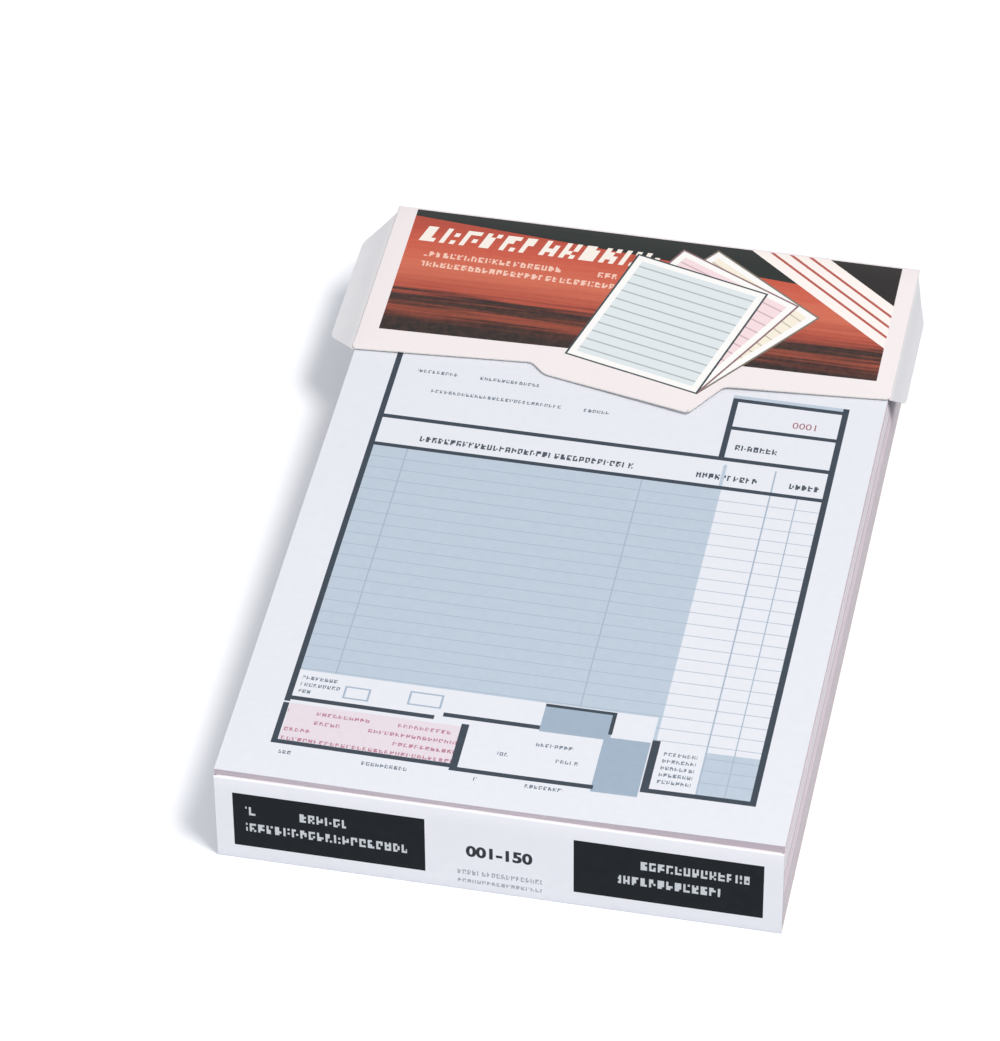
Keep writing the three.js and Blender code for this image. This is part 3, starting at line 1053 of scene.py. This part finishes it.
pick_nearest(header, Vector((sheet_x(tip_left), sheet_y(tip_depth), header_high.z)))
pull((0, 0, TONGUE_LIFT), TONGUE_REACH)
bpy.ops.object.mode_set(mode="OBJECT")
thick = header.modifiers.new("thick", "SOLIDIFY")
thick.thickness = header_high.z - header_low.z
thick.offset = -1
thick.material_offset = 1
thick.material_offset_rim = 1
give(header, [header_print(), card_inside])
bpy.ops.object.modifier_apply(modifier="thick")
soften(
    header,
    lambda middle, way: middle.z > header_high.z - NEAR
    and (abs(middle.x) > header_high.x - NEAR or middle.y > header_high.y - NEAR),
    0.3 * MM,
)
bpy.ops.object.shade_smooth_by_angle(angle=math.radians(40))
settle(header, "header", "printed_card", "header_flap")


# The side lips. Two narrow lips of the same card, creased along the header flap's sides and bent down
# beside the sheets. The left one has sprung outwards. They are coated outside and bare inside.
LIP_DEPTH = 9 * MM
LIP_CURL = 0.35 * MM
LIP_HEAD = 1.5
UNDER_SCORE = 0.05 * MM

for side, name, flap_corner, splay in [(-1, "left", flap_edge[0], 57), (1, "right", flap_edge[-1], 18)]:
    score_x = side * header_high.x
    inner_x = score_x - side * (header_high.z - header_low.z)
    front, back = sheet_y(flap_corner[1]), sheet_y(LIP_HEAD)
    top, lip_foot = header_low.z - UNDER_SCORE, header_low.z - LIP_DEPTH
    start, end = sorted((inner_x, score_x))
    lip = start_box(f"card_{name}_lip", (start, front, lip_foot), (end, back, top))
    bpy.ops.object.mode_set(mode="EDIT")
    cut_off((0, front, top), (0, -9, -3.5))
    cut_off((0, back, top), (0, 9, -7.5))
    bpy.ops.object.mode_set(mode="OBJECT")
    soften(lip, lambda middle, way: abs(way.x) > 0.9 and middle.z < lip_foot + NEAR, 1.5 * MM, 5)
    bpy.ops.object.mode_set(mode="EDIT")
    cut_all([(0, 0, top - depth * MM) for depth in (1.5, 3, 4.5, 6, 7.5)], (0, 0, 1))
    pick_points(lip, lambda point: point.z < lip_foot + NEAR)
    pull((side * LIP_CURL, 0, 0), 8 * MM)
    bpy.ops.mesh.select_all(action="SELECT")
    score = (score_x, 0, header_low.z)
    turn = side * math.radians(splay)
    bpy.ops.transform.rotate(value=turn, orient_axis="Y", center_override=score)
    bpy.ops.object.mode_set(mode="OBJECT")
    soften(
        lip,
        lambda middle, way: abs(way.y) > 0.9
        and (middle - Vector((score_x, middle.y, header_low.z))).length < 0.1 * MM,
        0.2 * MM,
    )
    finish_card(lip, lambda normal: normal.x * side > 0.02)
    settle(lip, f"{name}_lip", "cover_card", f"{name}_side_lip")


# The stage. A white table top and a white background. Soft light comes from the right, the front and
# above, so a soft blue-grey shadow lies on the table at the book's left.
scene = bpy.context.scene
deselect()
bpy.ops.mesh.primitive_plane_add(size=4, location=(0, 0, -0.02 * MM))
floor = bpy.context.object
floor.name = "table_top"
table = bpy.data.materials.new("white_table_top")
table.use_nodes = True
table.node_tree.nodes.clear()
matte = add(table, "BsdfDiffuse", {"Color": linear("#B4BAC2")})
bright = add(table, "BsdfDiffuse", {"Color": linear("#F7FAFF")})
glow = add(table, "Emission", {"Color": linear("#FFFFFF"), "Strength": 0.17})
ray = add(table, "LightPath")
summed = add(table, "AddShader", {0: bright, 1: glow})
seen = add(table, "MixShader", {0: ray.outputs["Is Camera Ray"], 1: matte, 2: summed})
# Away from the book the table fades into the white behind it.
floor_place = add(table, "TexCoord").outputs["Object"]
reach = add(table, "VectorMath", {0: floor_place}, operation="LENGTH")
fade = add(table, "MapRange", {0: reach.outputs["Value"], 1: 0.22, 2: 0.5, 3: 0, 4: 1})
fading = add(table, "Math", {0: fade, 1: ray.outputs["Is Camera Ray"]}, operation="MULTIPLY")
plain_white = add(table, "Emission", {"Color": (1, 1, 1, 1), "Strength": 1})
faded = add(table, "MixShader", {0: fading, 1: seen, 2: plain_white})
add(table, "OutputMaterial", {"Surface": faded})
floor.data.materials.append(table)

world = bpy.data.worlds.new("white_room")
scene.world = world
world.use_nodes = True
world.node_tree.nodes.clear()
soft_light = add(world, "Background", {"Color": linear("#F1F4FA"), "Strength": 0.42})
white = add(world, "Background", {"Color": (1, 1, 1, 1), "Strength": 1})
# What looks at the room, straight or off or through a surface, sees white. The light is softer.
path = add(world, "LightPath").outputs
looked_at = add(
    world, "Math", {0: path["Is Camera Ray"], 1: path["Is Glossy Ray"]}, operation="MAXIMUM"
)
white_shows = add(
    world, "Math", {0: looked_at, 1: path["Is Transmission Ray"]}, operation="MAXIMUM"
)
room = add(world, "MixShader", {0: white_shows, 1: soft_light, 2: white})
add(world, "OutputWorld", {"Surface": room})


def area_light(name, place, aim, size, power, colour):
    """A square soft box at a place, turned to a point."""
    lamp = bpy.data.objects.new(name, bpy.data.lights.new(name, "AREA"))
    lamp.data.shape = "SQUARE"
    lamp.data.size = size
    lamp.data.energy = power
    lamp.data.color = linear(colour)[:3]
    lamp.location = place
    lamp.rotation_mode = "QUATERNION"
    lamp.rotation_quaternion = (Vector(aim) - Vector(place)).to_track_quat("-Z", "Y")
    scene.collection.objects.link(lamp)


area_light("key_soft_box", (1.0, -0.7, 2.4), (0, 0, 0), size=0.7, power=49, colour="#FFFBF6")
area_light("front_fill", (-0.1, -1.3, 0.4), (0, 0, 0.01), size=0.9, power=7, colour="#F6F8FF")

# The camera stands a little to the right of the foot end and looks down on the book, with a long lens.
azimuth, elevation, roll = math.radians(11.75), math.radians(42.59), math.radians(-0.54)
distance = 1.473
target = Vector((-0.0226, 0.0070, 0.015))
level = math.cos(elevation)
forward = Vector((-math.sin(azimuth) * level, math.cos(azimuth) * level, -math.sin(elevation)))
camera = bpy.data.objects.new("camera", bpy.data.cameras.new("camera"))
scene.collection.objects.link(camera)
camera.data.sensor_width = 36
camera.data.lens = 198.7
camera.data.clip_end = 10
camera.location = target - forward * distance
camera.rotation_mode = "QUATERNION"
rolled = Matrix.Rotation(roll, 4, "Z").to_quaternion()
camera.rotation_quaternion = forward.to_track_quat("-Z", "Y") @ rolled
scene.camera = camera
scene.view_settings.view_transform = "Standard"
